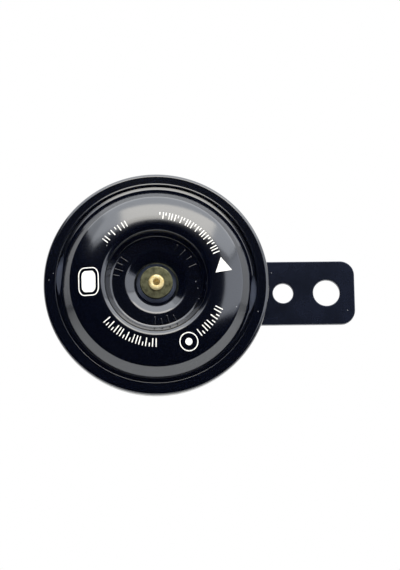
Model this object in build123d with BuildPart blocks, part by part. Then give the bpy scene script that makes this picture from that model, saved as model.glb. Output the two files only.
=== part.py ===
from build123d import *
import os
from math import atan2, cos, dist, radians, sin, sqrt, tan

os.makedirs("parts", exist_ok=True)

# A small round disc horn on a flat strap bracket. All sizes are in millimetres.
#
# The origin is the centre of the strap's bolt hole, on the strap's rear face. +X runs from the horn
# to the strap's free end, +Z is up and the horn faces -Y. Heights in this file are measured forward
# from the middle of the diaphragm's thickness, so what lies behind the diaphragm is negative.


# ---------------------------------------------------------------- driving dimensions

# strap bracket
strap_width = 20.4
strap_thickness = 2.0
strap_edge_break = 0.3
strap_corner_radius = 4.5
bolt_hole_diameter = 8.5
pilot_hole_diameter = 6.5
reach = 54.3  # horn axis to bolt hole
hole_spacing = 13.85
strap_end_margin = 9.0  # bolt hole to the strap's free end

# pressed sheets
rim_radius = 35.0
cover_sheet = 0.8
housing_sheet = 1.0
diaphragm_sheet = 0.3
gasket_thickness = 0.7
seat_width = 2.65  # how far the rim overlaps the clamped sheets
rim_corner_radius = 1.1  # outside; the clamped sheets end where the rolled rim is flat inside
lip_edge_radius = 0.35

# front cover: radius and height of each bend of its front surface, from the hub outwards
hub_hole_radius = 6.2
hub_hole_height = 1.9
hub_radius = 9.6
hub_height = 3.9
valley_radius = 14.3
valley_height = 3.85
crest_radius = 16.2
crest_height = 8.0
crown_offset = 0.3  # crown outside the middle between crest and shoulder
crown_height = 7.75
shoulder_height = 5.75
wall_width = 3.3  # shoulder to foot of the outer wall
groove_width = 1.35  # foot of the outer wall to the rim's lip
hub_bend = 2.2
valley_bend = 1.2
crest_bend = 2.2
crown_bend = 20.0  # less where crest and shoulder leave it no room
shoulder_bend = 2.0
foot_bend = 0.5
smallest_flat = 0.1  # left straight between two bends

# sound ports, lanced along the foot of the cover's wall
port_angle = -6.4  # line through both ports, from +X towards +Z
port_depth = 1.1  # how far the wall is pressed in behind its foot
port_opening = 2.3  # pressed-in wall to the slit's outer edge
port_length = 14.6
port_wall_curve = 57.0  # radius of the tool that presses the wall in
port_wall_lean = 16.0  # degrees

# rear housing
housing_depth = 15.0  # diaphragm to the floor's rear face
cone_start = 0.9  # seat's inner edge to the bend into the cone
cone_width = 1.6  # that bend to the one where the cone meets the cup, outside
cone_height = -3.7
cup_draft = 0.7  # how far the cup narrows towards its floor
floor_bend = 3.0
cone_bend = 1.2
drain_hole_diameter = 3.0
drain_hole_inset = 9.05  # from the cup's outside
drain_hole_angle = 215.0

# moving centre
centre_hole_radius = 1.65
washer_radius = 5.1
washer_thickness = 1.0
washer_top = 3.5
washer_edge_break = 0.2
spacer_radius = 4.0
rivet_head_radius = 2.5
rivet_head_height = 0.95
rivet_bore_radius = 1.05
rivet_bore_depth = 2.3
rivet_fit = 0.05
rivet_foot_radius = 2.5
rivet_foot_height = 0.6
rivet_foot_fit = 0.1
rivet_roll_radius = 0.7
rivet_mouth_radius = 0.2
drill_point_angle = 31.0
armature_margin = 1.50795  # pusher's middle to the plate's edge
armature_thickness = 2.3
armature_seat_radius = 8.0
armature_seat_height = 0.6
armature_pole_radius = 7.0
armature_pole_height = 1.2
armature_edge_break = 0.4
air_gap = 0.8  # armature to core at rest

# magnet
core_radius = 6.0
stud_diameter = 6.0
stud_fit = 0.2  # all round the stud in the floor and in the strap
stud_end_chamfer = 0.7
stud_projection = 1.3  # beyond the nut
bobbin_clearance = 0.8  # bobbin to the contact breaker's arms
bobbin_flange = 0.8
bobbin_wall = 0.8
bobbin_height = 8.2
bobbin_fit = 0.1
winding_inset = 1.0  # below the bobbin flanges' edge

# contact breaker beside the magnet
breaker_inset = 9.35  # cup's outside to the middle of the leaf
breaker_width = 5.0
stack_start = -12.0  # along X, from the horn axis
stack_length = 9.0
contact_offset = 2.0
fixed_arm_end = 4.2
leaf_end = 7.2
base_insulator = 1.0
fixed_arm_thickness = 0.8
middle_insulator = 1.6
leaf_thickness = 0.3
top_insulator = 0.8
contact_diameter = 3.0
fixed_contact_height = 0.8
breaker_rivet_radius = 1.2
breaker_rivet_inset = 2.2
breaker_rivet_head_radius = 2.0
breaker_rivet_head_height = 0.8
rivet_head_taper = 25.0
pusher_offset = 5.5
pusher_diameter = 2.6
pusher_shank_radius = 0.9
pusher_tip_radius = 0.5
pusher_clearance = 0.15
adjusting_screw_diameter = 4.0
adjusting_screw_offset = 0.5
adjusting_head_diameter = 6.6
adjusting_head_height = 2.6
adjusting_head_edge = 0.4
adjusting_slot_turn = 25.0
adjusting_slot_width = 0.9
adjusting_slot_depth = 1.1
collar_wall = 1.0  # plunged thread collar round the adjusting screw
collar_height = 0.7
thread_fit = 0.05
lacquer_radius = 3.6
lacquer_height = 1.2
lacquer_taper = 12.0

# terminals
terminal_inset = 10.05  # cup's outside up to the terminal rivets
terminal_spacing = 11.6
base_width = 21.0
base_height = 10.0
base_thickness = 4.0
base_corner_radius = 2.5
base_rib_width = 1.4
base_rib_height = 2.2
spigot_radius = 2.4
spigot_fit = 0.1
blade_width = 6.3
blade_thickness = 0.8
blade_length = 16.5
blade_head_margin = 3.3  # rivet to the blade's inner end
blade_tip_chamfer = 1.2
blade_detent_diameter = 1.8
blade_detent_inset = 3.4
terminal_rivet_radius = 1.4
terminal_rivet_head_radius = 2.3
terminal_rivet_head_height = 0.9
inner_insulator_width = 17.6
inner_insulator_height = 4.6
inner_insulator_thickness = 0.8

# suppressor resistor, lying on the floor
resistor_radius = 2.0
resistor_length = 10.0
resistor_inset = 8.05  # cup's outside to the resistor's middle
resistor_angle = 180.0
resistor_cap_radius = 2.2
resistor_cap_length = 1.6

# bracket fastening
lock_washer_outer_radius = 5.4
lock_washer_inner_radius = 3.15
lock_washer_thickness = 1.6
lock_washer_gap = 1.2
nut_across_flats = 10.0
nut_height = 5.0
nut_chamfer_angle = 30.0
nut_chamfer_start = 0.94  # share of half the width across flats


# ---------------------------------------------------------------- derived places

diaphragm_y = -(strap_thickness + housing_depth)
horn_axis = Axis((-reach, diaphragm_y, 0), (0, -1, 0))
section = Plane(origin=(-reach, diaphragm_y, 0), x_dir=(1, 0, 0), z_dir=(0, 0, -1))
facing = Plane(origin=(-reach, diaphragm_y, 0), x_dir=(1, 0, 0), z_dir=(0, -1, 0))

diaphragm_front = diaphragm_sheet / 2
diaphragm_back = -diaphragm_front
flange_bottom = diaphragm_front + gasket_thickness
flange_top = flange_bottom + cover_sheet
lip_top = flange_top + housing_sheet
seat_top = diaphragm_back - gasket_thickness
seat_bottom = seat_top - housing_sheet
clamped_radius = rim_radius - rim_corner_radius
seat_radius = clamped_radius - seat_width
foot_radius = seat_radius - groove_width
shoulder_radius = foot_radius - wall_width
crown_radius = (crest_radius + shoulder_radius) / 2 + crown_offset
cone_radius = seat_radius - cone_start - cone_width
cup_radius = cone_radius - cup_draft
breaker_offset = cup_radius - breaker_inset
bobbin_radius = breaker_offset - breaker_width / 2 - bobbin_clearance
winding_radius = bobbin_radius - winding_inset
armature_radius = dist((0, 0), (pusher_offset, breaker_offset)) + armature_margin
terminal_offset = cup_radius - terminal_inset
resistor_reach = cup_radius - resistor_inset
drain_hole_reach = cup_radius - drain_hole_inset
floor_back = -housing_depth
floor_front = floor_back + housing_sheet
strap_back = floor_back - strap_thickness

washer_bottom = washer_top - washer_thickness
plate_front = diaphragm_back - armature_seat_height
plate_back = plate_front - armature_thickness
pole_back = plate_back - armature_pole_height
core_front = pole_back - air_gap
rivet_shank_radius = centre_hole_radius - rivet_fit
stud_radius = stud_diameter / 2
stud_hole_radius = stud_radius + stud_fit
nut_back = strap_back - lock_washer_thickness - nut_height

# places across the horn, as seen from the front, from the horn axis
pusher_place = (pusher_offset, breaker_offset)
contact_place = (contact_offset, breaker_offset)
adjusting_place = (adjusting_screw_offset, breaker_offset)
breaker_rivets = [
    (stack_start + breaker_rivet_inset, breaker_offset),
    (stack_start + stack_length - breaker_rivet_inset, breaker_offset),
]
terminal_places = [
    (-terminal_spacing / 2, -terminal_offset),
    (terminal_spacing / 2, -terminal_offset),
]


def level(height):
    """Plane across the horn at a height forward of the diaphragm, seen from the front."""
    return facing.offset(height)


def turn(*outline, axis=horn_axis, mode=Mode.ADD):
    """Revolve an outline of (radius, height) points about the horn axis."""
    with BuildSketch(section) as area:
        with BuildLine():
            Polyline(*outline, close=True)
        make_face()
    revolve(area.sketch, axis=axis, mode=mode)


def washer_disc(bottom, thickness, outer, inner):
    """Flat ring across the horn axis."""
    with BuildSketch(level(bottom)) as ring:
        Circle(outer)
        Circle(inner, mode=Mode.SUBTRACT)
    extrude(ring.sketch, amount=thickness)


def save(piece, name):
    """Label a finished piece and write it."""
    piece.part.label = name
    export_step(piece.part, f"parts/{name}.step")


# ---------------------------------------------------------------- front cover

# One pressing: a sunk hub round the centre hole, a flat valley, a step up to the domed crown, a steep
# outer wall and a flange that the rim clamps. Bends run from the hub outwards.
hub_edge = (hub_hole_radius, hub_hole_height)
valley = (valley_radius, valley_height)
crest = (crest_radius, crest_height)
crown = (crown_radius, crown_height)
shoulder = (shoulder_radius, shoulder_height)
wall_foot = (foot_radius, flange_top)
cover_bends = [hub_edge, (hub_radius, hub_height), valley, crest, crown, shoulder, wall_foot]


def bend_reach(before, corner, after):
    """Length that a bend of radius 1 takes up on each side of its corner."""
    slope_before = atan2(corner[1] - before[1], corner[0] - before[0])
    slope_after = atan2(after[1] - corner[1], after[0] - corner[0])
    return tan(abs(slope_after - slope_before) / 2)


crown_room = min(
    dist(crest, crown) - crest_bend * bend_reach(valley, crest, crown),
    dist(crown, shoulder) - shoulder_bend * bend_reach(crown, shoulder, wall_foot),
)
fitted_crown_bend = min(crown_bend, (crown_room - smallest_flat) / bend_reach(crest, crown, shoulder))
cover_bend_radii = [hub_bend, valley_bend, crest_bend, fitted_crown_bend, shoulder_bend]

# The lanced wall is pressed in by a round tool beside the horn, which leans as the wall does.
port_inner_reach = foot_radius - port_depth
port_outer_reach = port_inner_reach + port_opening
port_tool_reach = port_inner_reach + port_wall_curve
port_taper = tan(radians(port_wall_lean))
port_slit_sagitta = port_outer_reach - (
    port_tool_reach - sqrt(port_wall_curve**2 - (port_length / 2) ** 2)
)
port_slit_curve = ((port_length / 2) ** 2 + port_slit_sagitta**2) / (2 * port_slit_sagitta)
port_directions = [port_angle, port_angle + 180]


def port_place(direction, distance):
    """Point on the diaphragm plane, at a distance from the horn axis along a port's direction."""
    turn_angle = radians(direction)
    return (-reach + distance * cos(turn_angle), diaphragm_y, distance * sin(turn_angle))


def port_tool(direction, offset):
    """Leaning round tool that presses a port's wall in, grown by an offset."""
    tool_plane = Plane(origin=port_place(direction, port_tool_reach), x_dir=(1, 0, 0), z_dir=(0, 0, -1))
    tool_axis = Axis(port_place(direction, port_tool_reach), (0, -1, 0))
    foot = port_wall_curve + offset
    rise = crest_height - flange_bottom
    with BuildPart() as tool:
        with BuildSketch(tool_plane):
            with BuildLine():
                Polyline(
                    (0, flange_bottom),
                    (foot, flange_bottom),
                    (foot - rise * port_taper, crest_height),
                    (0, crest_height),
                    close=True,
                )
            make_face()
        revolve(axis=tool_axis)
    return tool.part


with BuildPart() as dome:
    with BuildSketch(section):
        with BuildLine():
            FilletPolyline(*cover_bends, radius=cover_bend_radii)
            Polyline(cover_bends[-1], (foot_radius, flange_bottom), (0, flange_bottom))
            Polyline((0, flange_bottom), (0, hub_hole_height), cover_bends[0])
        make_face()
    revolve(axis=horn_axis)

pressed_fronts = [port_tool(direction, 0) for direction in port_directions]
pressed_backs = [port_tool(direction, cover_sheet) for direction in port_directions]

with BuildPart() as pressing_tools:
    add(pressed_fronts)

with BuildPart() as port_walls:
    add(pressed_backs)
    add(pressing_tools.part, mode=Mode.SUBTRACT)
    add(dome.part, mode=Mode.INTERSECT)

with BuildPart() as port_slits:
    for direction in port_directions:
        slit_centre = port_place(direction, port_outer_reach - port_slit_curve)
        with BuildSketch(Plane(origin=slit_centre, x_dir=(1, 0, 0), z_dir=(0, -1, 0))):
            Circle(port_slit_curve)
        extrude(amount=crest_height)
    add(pressing_tools.part, mode=Mode.INTERSECT)

with BuildPart() as front_cover:
    with BuildSketch(section):
        with BuildLine():
            FilletPolyline(
                *cover_bends,
                (clamped_radius, flange_top),
                radius=cover_bend_radii + [foot_bend],
            )
            offset(amount=cover_sheet, side=Side.RIGHT)
        make_face()
    revolve(axis=horn_axis)
    add(port_slits.part, mode=Mode.SUBTRACT)
    add(port_walls.part)
save(front_cover, "front_cover")


# ---------------------------------------------------------------- clamped rim

with BuildPart() as rear_housing:
    with BuildSketch(section) as wall:
        with BuildLine():
            FilletPolyline(
                (seat_radius, lip_top),
                (rim_radius, lip_top),
                (rim_radius, seat_bottom),
                (seat_radius - cone_start, seat_bottom),
                (cone_radius, cone_height),
                (cup_radius, floor_back),
                (stud_hole_radius, floor_back),
                radius=[rim_corner_radius, rim_corner_radius, cone_bend, cone_bend, floor_bend],
            )
            offset(amount=housing_sheet, side=Side.RIGHT)
        make_face()
        fillet(wall.vertices().group_by(Axis.Y)[-1].sort_by(Axis.X)[0], radius=lip_edge_radius)
    revolve(axis=horn_axis)
    # plunged collar for the adjusting screw
    with BuildSketch(level(floor_front)):
        with Locations(adjusting_place):
            Circle(adjusting_screw_diameter / 2 + thread_fit + collar_wall)
    extrude(amount=collar_height)
    with BuildSketch(level(floor_back)):
        with Locations(adjusting_place):
            Circle(adjusting_screw_diameter / 2 + thread_fit)
    extrude(amount=housing_sheet + collar_height, mode=Mode.SUBTRACT)
    # holes for the breaker rivets, the terminal spigots and the drain
    with BuildSketch(level(floor_back)):
        with Locations(breaker_rivets):
            Circle(breaker_rivet_radius + rivet_fit)
        with Locations(terminal_places):
            Circle(spigot_radius + spigot_fit)
        with PolarLocations(drain_hole_reach, 1, start_angle=drain_hole_angle):
            Circle(drain_hole_diameter / 2)
    extrude(amount=housing_sheet, mode=Mode.SUBTRACT)
save(rear_housing, "rear_housing")

with BuildPart() as front_gasket:
    washer_disc(diaphragm_front, gasket_thickness, clamped_radius, seat_radius)
save(front_gasket, "front_gasket")

with BuildPart() as rear_gasket:
    washer_disc(seat_top, gasket_thickness, clamped_radius, seat_radius)
save(rear_gasket, "rear_gasket")

with BuildPart() as diaphragm:
    washer_disc(diaphragm_back, diaphragm_sheet, clamped_radius, centre_hole_radius)
save(diaphragm, "diaphragm")


# ---------------------------------------------------------------- moving centre

counterbore_radius = rivet_foot_radius + rivet_foot_fit
foot_top = pole_back + rivet_foot_height + rivet_fit
with BuildPart() as armature:
    turn(
        (centre_hole_radius, diaphragm_back),
        (armature_seat_radius, diaphragm_back),
        (armature_seat_radius, plate_front),
        (armature_radius, plate_front),
        (armature_radius, plate_back),
        (armature_pole_radius, plate_back),
        (armature_pole_radius, pole_back),
        (counterbore_radius, pole_back),
        (counterbore_radius, foot_top),
        (centre_hole_radius, foot_top),
    )
    with BuildSketch(level(plate_back)):
        with Locations(pusher_place):
            Circle(pusher_shank_radius + rivet_fit)
    extrude(amount=armature_thickness, mode=Mode.SUBTRACT)
    chamfer(
        armature.edges().filter_by(GeomType.CIRCLE).group_by(SortBy.RADIUS)[-1],
        length=armature_edge_break,
    )
save(armature, "armature")

with BuildPart() as centre_spacer:
    washer_disc(diaphragm_front, washer_bottom - diaphragm_front, spacer_radius, centre_hole_radius)
save(centre_spacer, "centre_spacer")

with BuildPart() as centre_washer:
    washer_disc(washer_bottom, washer_thickness, washer_radius, centre_hole_radius)
    fillet(
        centre_washer.faces().sort_by(Axis.Y)[0].outer_wire().edges(),
        radius=washer_edge_break,
    )
save(centre_washer, "centre_washer")

# Brass rivet: its tubular end is rolled over in front of the washer, its flat foot sits in the
# armature, and its bore ends in a drill point.
head_top = washer_top + rivet_head_height
bore_end = head_top - rivet_bore_depth
with BuildPart() as centre_rivet:
    with BuildSketch(section) as rivet_half:
        with BuildLine():
            Polyline(
                (0, foot_top - rivet_foot_height),
                (rivet_foot_radius, foot_top - rivet_foot_height),
                (rivet_foot_radius, foot_top),
                (rivet_shank_radius, foot_top),
                (rivet_shank_radius, washer_top),
                (rivet_head_radius, washer_top),
                (rivet_head_radius, head_top),
                (rivet_bore_radius, head_top),
                (rivet_bore_radius, bore_end),
                (0, bore_end - rivet_bore_radius * tan(radians(drill_point_angle))),
                close=True,
            )
        make_face()
        mouth_corner, rolled_corner = rivet_half.vertices().group_by(Axis.Y)[-1].sort_by(Axis.X)
        fillet(rolled_corner, radius=rivet_roll_radius)
        fillet(mouth_corner, radius=rivet_mouth_radius)
    revolve(axis=horn_axis)
save(centre_rivet, "centre_rivet")

leaf_back = floor_front + base_insulator + fixed_arm_thickness + middle_insulator
leaf_front = leaf_back + leaf_thickness
pusher_tip = leaf_front + pusher_clearance
with BuildPart() as contact_pusher:
    with BuildSketch(level(pusher_tip)):
        with Locations(pusher_place):
            Circle(pusher_diameter / 2)
    extrude(amount=plate_back - pusher_tip)
    with BuildSketch(level(plate_back)):
        with Locations(pusher_place):
            Circle(pusher_shank_radius)
    extrude(amount=armature_thickness)
    fillet(contact_pusher.faces().sort_by(Axis.Y)[-1].edges(), radius=pusher_tip_radius)
save(contact_pusher, "contact_pusher")


# ---------------------------------------------------------------- magnet

stud_end = nut_back - stud_projection
with BuildPart() as magnet_core:
    turn(
        (0, core_front),
        (core_radius, core_front),
        (core_radius, floor_front),
        (stud_radius, floor_front),
        (stud_radius, stud_end + stud_end_chamfer),
        (stud_radius - stud_end_chamfer, stud_end),
        (0, stud_end),
    )
save(magnet_core, "magnet_core")

bobbin_bore = core_radius + bobbin_fit
barrel_radius = bobbin_bore + bobbin_wall
bobbin_top = floor_front + bobbin_height
with BuildPart() as coil_bobbin:
    turn(
        (bobbin_bore, floor_front),
        (bobbin_radius, floor_front),
        (bobbin_radius, floor_front + bobbin_flange),
        (barrel_radius, floor_front + bobbin_flange),
        (barrel_radius, bobbin_top - bobbin_flange),
        (bobbin_radius, bobbin_top - bobbin_flange),
        (bobbin_radius, bobbin_top),
        (bobbin_bore, bobbin_top),
    )
save(coil_bobbin, "coil_bobbin")

with BuildPart() as coil_winding:
    washer_disc(
        floor_front + bobbin_flange,
        bobbin_height - 2 * bobbin_flange,
        winding_radius,
        barrel_radius,
    )
save(coil_winding, "coil_winding")


# ---------------------------------------------------------------- contact breaker

# A stack of two arms between fibre plates, riveted to the floor: the stiff lower arm carries the
# fixed contact and bears on the adjusting screw, and the leaf above it carries the moving contact.


def breaker_strip(bottom, thickness, end):
    """Strip of the breaker stack, from the stack's start to an end along X, with its rivet holes."""
    length = end - stack_start
    with BuildSketch(level(bottom)) as strip:
        with Locations((stack_start + length / 2, breaker_offset)):
            Rectangle(length, breaker_width)
        with Locations(breaker_rivets):
            Circle(breaker_rivet_radius + rivet_fit, mode=Mode.SUBTRACT)
    extrude(strip.sketch, amount=thickness)


arm_back = floor_front + base_insulator
arm_front = arm_back + fixed_arm_thickness
stack_end = stack_start + stack_length
stack_top = leaf_front + top_insulator

with BuildPart() as contact_base_insulator:
    breaker_strip(floor_front, base_insulator, stack_end)
save(contact_base_insulator, "contact_base_insulator")

with BuildPart() as fixed_contact_arm:
    breaker_strip(arm_back, fixed_arm_thickness, fixed_arm_end)
save(fixed_contact_arm, "fixed_contact_arm")

with BuildPart() as contact_middle_insulator:
    breaker_strip(arm_front, middle_insulator, stack_end)
save(contact_middle_insulator, "contact_middle_insulator")

with BuildPart() as moving_contact_leaf:
    breaker_strip(leaf_back, leaf_thickness, leaf_end)
save(moving_contact_leaf, "moving_contact_leaf")

with BuildPart() as contact_top_insulator:
    breaker_strip(leaf_front, top_insulator, stack_end)
save(contact_top_insulator, "contact_top_insulator")

with BuildPart() as fixed_contact:
    with BuildSketch(level(arm_front)):
        with Locations(contact_place):
            Circle(contact_diameter / 2)
    extrude(amount=fixed_contact_height)
save(fixed_contact, "fixed_contact")

with BuildPart() as moving_contact:
    with BuildSketch(level(arm_front + fixed_contact_height)):
        with Locations(contact_place):
            Circle(contact_diameter / 2)
    extrude(amount=middle_insulator - fixed_contact_height)
save(moving_contact, "moving_contact")

with BuildPart() as contact_rivets:
    with BuildSketch(level(floor_back)):
        with Locations(breaker_rivets):
            Circle(breaker_rivet_radius)
    extrude(amount=stack_top - floor_back)
    with BuildSketch(level(stack_top)):
        with Locations(breaker_rivets):
            Circle(breaker_rivet_head_radius)
    extrude(amount=breaker_rivet_head_height, taper=rivet_head_taper)
    with BuildSketch(level(floor_back)):
        with Locations(breaker_rivets):
            Circle(breaker_rivet_head_radius)
    extrude(amount=-breaker_rivet_head_height, taper=rivet_head_taper)
save(contact_rivets, "contact_rivets")

screw_head_top = floor_back - lacquer_height
with BuildPart() as adjusting_screw:
    with BuildSketch(level(screw_head_top)):
        with Locations(adjusting_place):
            Circle(adjusting_screw_diameter / 2)
    extrude(amount=arm_back - screw_head_top)
    with BuildSketch(level(screw_head_top)):
        with Locations(adjusting_place):
            Circle(adjusting_head_diameter / 2)
    extrude(amount=-adjusting_head_height)
    fillet(
        adjusting_screw.faces().sort_by(Axis.Y)[-1].edges(),
        radius=adjusting_head_edge,
    )
    with BuildSketch(level(screw_head_top - adjusting_head_height)):
        with Locations(adjusting_place):
            Rectangle(adjusting_head_diameter, adjusting_slot_width, rotation=adjusting_slot_turn)
    extrude(amount=adjusting_slot_depth, mode=Mode.SUBTRACT)
save(adjusting_screw, "adjusting_screw")

with BuildPart() as sealing_lacquer:
    with BuildSketch(level(floor_back)):
        with Locations(adjusting_place):
            Circle(lacquer_radius)
    extrude(amount=-lacquer_height, taper=lacquer_taper)
    with BuildSketch(level(floor_back)):
        with Locations(adjusting_place):
            Circle(adjusting_screw_diameter / 2 + thread_fit)
    extrude(amount=-lacquer_height, mode=Mode.SUBTRACT)
save(sealing_lacquer, "sealing_lacquer")


# ---------------------------------------------------------------- terminals

base_back = floor_back - base_thickness
blade_back = base_back - blade_thickness

with BuildPart() as terminal_base:
    with BuildSketch(level(base_back)):
        with Locations((0, -terminal_offset)):
            RectangleRounded(base_width, base_height, base_corner_radius)
    extrude(amount=base_thickness)
    # rib that keeps the two connectors apart
    with BuildSketch(level(base_back - base_rib_height)):
        with Locations((0, -terminal_offset)):
            Rectangle(base_rib_width, base_height)
    extrude(amount=base_rib_height)
    # spigots that line the floor's holes
    with BuildSketch(level(floor_back)):
        with Locations(terminal_places):
            Circle(spigot_radius)
    extrude(amount=housing_sheet)
    with BuildSketch(level(base_back)):
        with Locations(terminal_places):
            Circle(terminal_rivet_radius + rivet_fit)
    extrude(amount=base_thickness + housing_sheet, mode=Mode.SUBTRACT)
save(terminal_base, "terminal_base")

with BuildPart() as terminal_inner_insulator:
    with BuildSketch(level(floor_front)) as plate:
        with Locations((0, -terminal_offset)):
            Rectangle(inner_insulator_width, inner_insulator_height)
        with Locations(terminal_places):
            Circle(terminal_rivet_radius + rivet_fit, mode=Mode.SUBTRACT)
    extrude(amount=inner_insulator_thickness)
save(terminal_inner_insulator, "terminal_inner_insulator")


def terminal_blade(place):
    """Straight 6.3 mm blade, riveted at a place on the base and pointing down."""
    with BuildPart() as blade:
        with BuildSketch(level(blade_back)) as flat:
            with Locations((place[0], place[1] + blade_head_margin - blade_length / 2)):
                Rectangle(blade_width, blade_length)
            chamfer(flat.vertices().group_by(Axis.Y)[0], length=blade_tip_chamfer)
            fillet(flat.vertices().group_by(Axis.Y)[-1], radius=blade_tip_chamfer)
            with Locations(place):
                Circle(terminal_rivet_radius + rivet_fit, mode=Mode.SUBTRACT)
            with Locations((place[0], place[1] + blade_head_margin - blade_length + blade_detent_inset)):
                Circle(blade_detent_diameter / 2, mode=Mode.SUBTRACT)
        extrude(amount=blade_thickness)
    return blade


terminal_blade_live = terminal_blade(terminal_places[0])
save(terminal_blade_live, "terminal_blade_live")

terminal_blade_ground = terminal_blade(terminal_places[1])
save(terminal_blade_ground, "terminal_blade_ground")

with BuildPart() as terminal_rivets:
    with BuildSketch(level(blade_back)):
        with Locations(terminal_places):
            Circle(terminal_rivet_radius)
    extrude(amount=floor_front + inner_insulator_thickness - blade_back)
    with BuildSketch(level(blade_back)):
        with Locations(terminal_places):
            Circle(terminal_rivet_head_radius)
    extrude(amount=-terminal_rivet_head_height, taper=rivet_head_taper)
    with BuildSketch(level(floor_front + inner_insulator_thickness)):
        with Locations(terminal_places):
            Circle(terminal_rivet_head_radius)
    extrude(amount=terminal_rivet_head_height, taper=rivet_head_taper)
save(terminal_rivets, "terminal_rivets")


# ---------------------------------------------------------------- suppressor resistor

resistor_turn = radians(resistor_angle)
resistor_along = Vector(-sin(resistor_turn), 0, cos(resistor_turn))
resistor_middle = level(floor_front + resistor_cap_radius).from_local_coords(
    (resistor_reach * cos(resistor_turn), resistor_reach * sin(resistor_turn), 0)
)
with BuildPart() as suppressor_resistor:
    with BuildSketch(Plane(origin=resistor_middle, z_dir=resistor_along)):
        Circle(resistor_radius)
    extrude(amount=resistor_length / 2, both=True)
    for side in (-1, 1):
        cap_place = resistor_middle + resistor_along * (side * (resistor_length - resistor_cap_length) / 2)
        with BuildSketch(Plane(origin=cap_place, z_dir=resistor_along)):
            Circle(resistor_cap_radius)
        extrude(amount=resistor_cap_length / 2, both=True)
save(suppressor_resistor, "suppressor_resistor")


# ---------------------------------------------------------------- bracket and its nut

strap_length = reach + strap_end_margin
with BuildPart() as bracket:
    with BuildSketch(level(strap_back)) as strap:
        with Locations((strap_length / 2, 0)):
            Rectangle(strap_length, strap_width)
        fillet(strap.vertices().group_by(Axis.X)[-1], radius=strap_corner_radius)
        Circle(strap_width / 2)
        Circle(stud_hole_radius, mode=Mode.SUBTRACT)
        with Locations((reach - hole_spacing, 0)):
            Circle(pilot_hole_diameter / 2, mode=Mode.SUBTRACT)
        with Locations((reach, 0)):
            Circle(bolt_hole_diameter / 2, mode=Mode.SUBTRACT)
    extrude(amount=strap_thickness)
    fillet(bracket.faces().sort_by(Axis.Y)[0].outer_wire().edges(), radius=strap_edge_break)
save(bracket, "bracket")

with BuildPart() as spring_washer:
    washer_disc(
        strap_back - lock_washer_thickness,
        lock_washer_thickness,
        lock_washer_outer_radius,
        lock_washer_inner_radius,
    )
    with BuildSketch(level(strap_back - lock_washer_thickness)):
        Rectangle(lock_washer_gap, lock_washer_outer_radius, align=(Align.CENTER, Align.MIN))
    extrude(amount=lock_washer_thickness, mode=Mode.SUBTRACT)
save(spring_washer, "spring_washer")

nut_front = nut_back + nut_height
nut_bevel_radius = nut_across_flats / 2 * nut_chamfer_start
nut_corner_radius = nut_across_flats / sqrt(3)
nut_bevel = (nut_corner_radius - nut_bevel_radius) * tan(radians(nut_chamfer_angle))
with BuildPart() as bracket_nut:
    with BuildSketch(level(nut_back)):
        RegularPolygon(nut_across_flats / 2, 6, major_radius=False)
    extrude(amount=nut_height)
    turn(
        (0, nut_back),
        (nut_bevel_radius, nut_back),
        (nut_corner_radius, nut_back + nut_bevel),
        (nut_corner_radius, nut_front - nut_bevel),
        (nut_bevel_radius, nut_front),
        (0, nut_front),
        mode=Mode.INTERSECT,
    )
    with BuildSketch(level(nut_back)):
        Circle(stud_radius + thread_fit)
    extrude(amount=nut_height, mode=Mode.SUBTRACT)
save(bracket_nut, "bracket_nut")
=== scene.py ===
import math

import bmesh
import bpy
from mathutils import Matrix, Vector


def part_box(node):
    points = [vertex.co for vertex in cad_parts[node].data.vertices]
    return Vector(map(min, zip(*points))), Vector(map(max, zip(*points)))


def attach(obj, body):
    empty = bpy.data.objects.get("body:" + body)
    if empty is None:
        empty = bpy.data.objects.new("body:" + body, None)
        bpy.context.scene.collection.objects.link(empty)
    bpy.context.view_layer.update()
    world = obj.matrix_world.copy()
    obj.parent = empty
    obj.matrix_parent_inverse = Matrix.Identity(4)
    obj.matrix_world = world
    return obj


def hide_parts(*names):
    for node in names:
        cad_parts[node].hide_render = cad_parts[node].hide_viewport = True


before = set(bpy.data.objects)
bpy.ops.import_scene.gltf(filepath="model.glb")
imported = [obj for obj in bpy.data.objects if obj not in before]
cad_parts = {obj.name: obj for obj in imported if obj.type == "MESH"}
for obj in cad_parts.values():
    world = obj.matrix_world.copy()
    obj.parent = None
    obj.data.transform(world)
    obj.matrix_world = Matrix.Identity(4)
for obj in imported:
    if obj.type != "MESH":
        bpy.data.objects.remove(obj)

bl_info = {
    "name": "Disc horn",
    "version": (1, 0, 0),
    "blender": (4, 5, 0),
    "location": "3D View > Sidebar > Horn",
    "description": "Small black disc horn on a flat strap, modelled round its packed CAD frame",
    "category": "Object",
}

# The horn faces -Y and its strap runs to +X. Radii are taken from the horn's axis, and heights are
# taken forward from the middle of the diaphragm's thickness, so what lies behind it is negative.

mm = 0.001


def middle(node):
    """Middle of a CAD node's box."""
    low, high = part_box(node)
    return (low + high) / 2


axis_x = middle("diaphragm").x
diaphragm_y = middle("diaphragm").y
rim_radius = (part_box("rear_housing")[1].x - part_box("rear_housing")[0].x) / 2
strap_low, strap_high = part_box("bracket")
round_steps = 192
same_point = 1e-6  # metres: points nearer than this are one point


# -------- settings a user would change


def named(table, scale, **settings):
    """Number properties, each named after its key, from a default and a description."""
    return {
        key: bpy.props.FloatProperty(
            name=key.replace("_", " ").capitalize(),
            default=default * scale,
            description=description,
            **settings,
        )
        for key, (default, description) in table.items()
    }


def lengths(**table):
    """Length properties with their defaults in millimetres."""
    return named(table, mm, min=0.0, unit="LENGTH", precision=5)


def angles(**table):
    """Angle properties with their defaults in degrees."""
    return named(table, math.radians(1), subtype="ANGLE")


def powers(**table):
    """Powers and strengths of lights."""
    return named(table, 1, min=0.0)


def shade(name, default, description):
    return bpy.props.StringProperty(name=name, default=default, description=description)


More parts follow.
